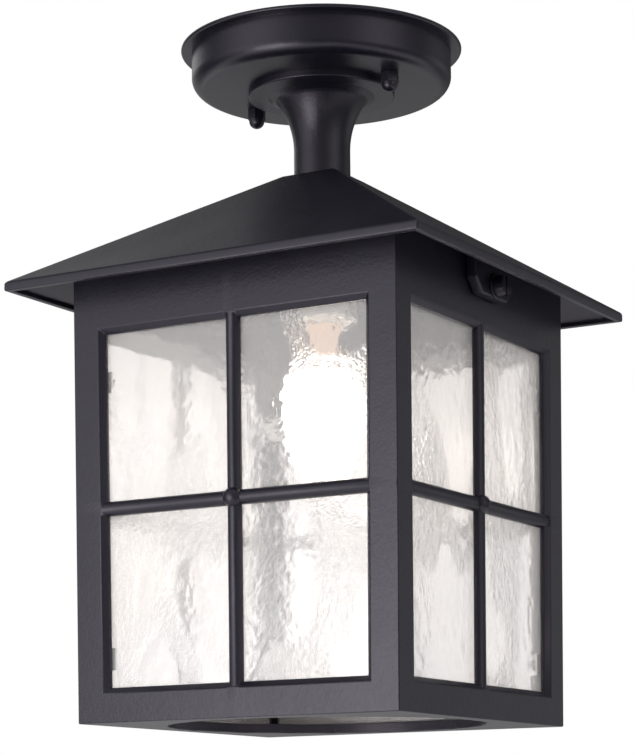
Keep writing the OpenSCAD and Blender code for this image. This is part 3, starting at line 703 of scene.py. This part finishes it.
light = {
    "backdrop": (1.0, 1.0, 1.0),   # colour all round, at strength 1 for the camera
    "through": 1.27,               # its strength behind the glass
    "fill": 1.10,                  # its strength on the object
    "mirror": 0.03,                # its strength in gloss, to which each panel adds
    "panels": [                    # soft panels that only gloss sees: a higher tight is a smaller one
        {"toward": (-0.50, -0.85, 0.12), "tight": 6.0, "strength": 1.45},
        {"toward": (-0.78, 0.42, 0.46), "tight": 26.0, "strength": 1.30},
        {"toward": (0.54, 0.84, 0.00), "tight": 16.0, "strength": 0.52},
        {"toward": (-0.40, 0.80, -0.42), "tight": 7.0, "strength": 0.28},
        {"toward": (-0.78, 0.62, 0.02), "tight": 14.0, "strength": 0.32},
        {"toward": (0.72, -0.69, 0.05), "tight": 8.0, "strength": 0.16},
        {"toward": (0.98, -0.12, 0.19), "tight": 14.0, "strength": 1.20},
        {"toward": (0.30, -0.42, 0.86), "tight": 3.0, "strength": 0.38},
        {"toward": (0.10, -0.14, 1.00), "tight": 12.0, "strength": 0.70},
    ],
    "lamps": [                     # round lamps, in metres and watts
        {"name": "lowFront", "at": (-0.12, -0.60, -0.32), "aim": (0.02, -0.07, -0.24),
         "size": 0.42, "watts": 1.6},
        {"name": "topBack", "at": (0.7, 1.2, 1.3), "aim": (0, 0, -0.15), "size": 1.0, "watts": 2},
    ],
}


def makeLight(look):
    world = bpy.data.worlds.new("studio")
    world.use_nodes = True
    scene.world = world
    graph = Graph(world.node_tree)
    plain = graph.tree.nodes["Background"]
    seen, through, glossy = (graph.make("ShaderNodeLightPath", {}, {}, "Is " + kind + " Ray")
                             for kind in ("Camera", "Transmission", "Glossy"))
    way = graph.make("ShaderNodeTexCoord", {}, {}, "Generated")
    mirror = look["mirror"]
    for panel in look["panels"]:
        side = graph.make("ShaderNodeVectorMath", {"operation": "DOT_PRODUCT"},
                          {0: way, 1: Vector(panel["toward"]).normalized()}, "Value")
        mirror = mirror + side.maths("MAXIMUM", 0.0) ** panel["tight"] * panel["strength"]
    strength = glossy * mirror + (1 - glossy) * look["fill"]
    strength = through * look["through"] + (1 - through) * strength
    strength = seen + (1 - seen) * strength
    plain.inputs["Color"].default_value = (*look["backdrop"], 1)
    graph.tree.links.new(strength.socket, plain.inputs["Strength"])
    for lamp in look["lamps"]:
        data = bpy.data.lights.new(lamp["name"], "AREA")
        data.shape, data.size, data.energy = "DISK", lamp["size"], lamp["watts"]
        piece = addObject(lamp["name"], data)
        piece.location = lamp["at"]
        toward = Vector(lamp["aim"]) - Vector(lamp["at"])
        piece.rotation_euler = toward.to_track_quat("-Z", "Y").to_euler()


makeLight(light)

floorLook = {"z": -1.4, "half": 2.2, "dark": (0.86, 0.86, 0.86), "light": (0.9, 0.9, 0.9),   # metres
             "cloudScale": 3, "rough": 0.9, "gloss": 0.1}


def makeFloor(look):
    half = look["half"]
    corners = [(-half, -half), (half, -half), (half, half), (-half, half)]
    mesh = bpy.data.meshes.new("floor")
    mesh.from_pydata([(x, y, look["z"]) for x, y in corners], [], [(0, 1, 2, 3)])
    piece = addObject("floor", mesh)
    finish = Finish("paleFloor", {"Roughness": look["rough"], "Specular IOR Level": look["gloss"]})
    cloud = finish.noise(look["cloudScale"])
    mesh.materials.append(finish.feed(colour=finish.blend(cloud, look["dark"], look["light"])))


makeFloor(floorLook)
scene.view_settings.view_transform = "Standard"
print("camera, light and floor set")
